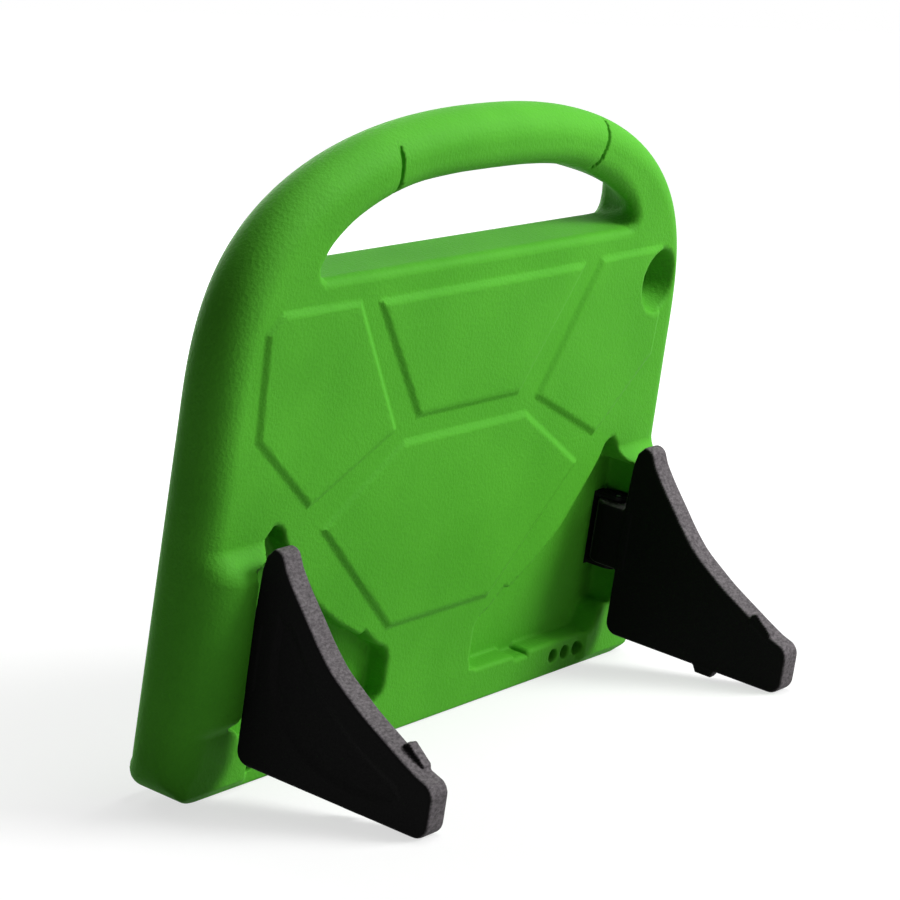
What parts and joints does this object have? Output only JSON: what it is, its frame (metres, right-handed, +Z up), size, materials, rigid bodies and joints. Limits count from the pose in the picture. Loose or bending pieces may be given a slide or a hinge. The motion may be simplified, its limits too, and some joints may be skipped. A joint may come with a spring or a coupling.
{
  "type": "tablet case with handle",
  "caption": "Child's soft foam tablet case with an arched carrying handle over a finger opening and fold-out stand legs hinged at its back.",
  "frame": {"origin": "centre of the bounding box on the floor the stand rests on", "axes": "+X across the case, +Y out of its back on the side of the legs, +Z up; the case leans back towards +Y by about 10.4 degrees"},
  "size_m": [0.24, 0.0972, 0.1932],
  "materials": {
    "foam": "matt, fine leathery grain",
    "leg_plastic": "satin faces with grained edges",
    "bracket_plastic": "satin",
    "pin_steel": "plain drawn wire"
  },
  "bodies": {
    "case": {"foam_case": "foam", "left_hinge_bracket": "bracket_plastic", "right_hinge_bracket": "bracket_plastic", "left_hinge_pin": "pin_steel", "right_hinge_pin": "pin_steel"},
    "left_leg": {"left_leg": "leg_plastic"},
    "right_leg": {"right_leg": "leg_plastic"}
  },
  "joints": [
    {"name": "left_leg_fold", "type": "hinge", "parent": "case", "child": "left_leg", "pos_m": [0.0988, -0.0213, 0.04474], "axis": [0, 0.1798, 0.9837], "range_deg": [0, 90]},
    {"name": "right_leg_fold", "type": "hinge", "parent": "case", "child": "right_leg", "pos_m": [-0.0988, -0.0213, 0.04474], "axis": [0, -0.1798, -0.9837], "range_deg": [0, 90]}
  ]
}
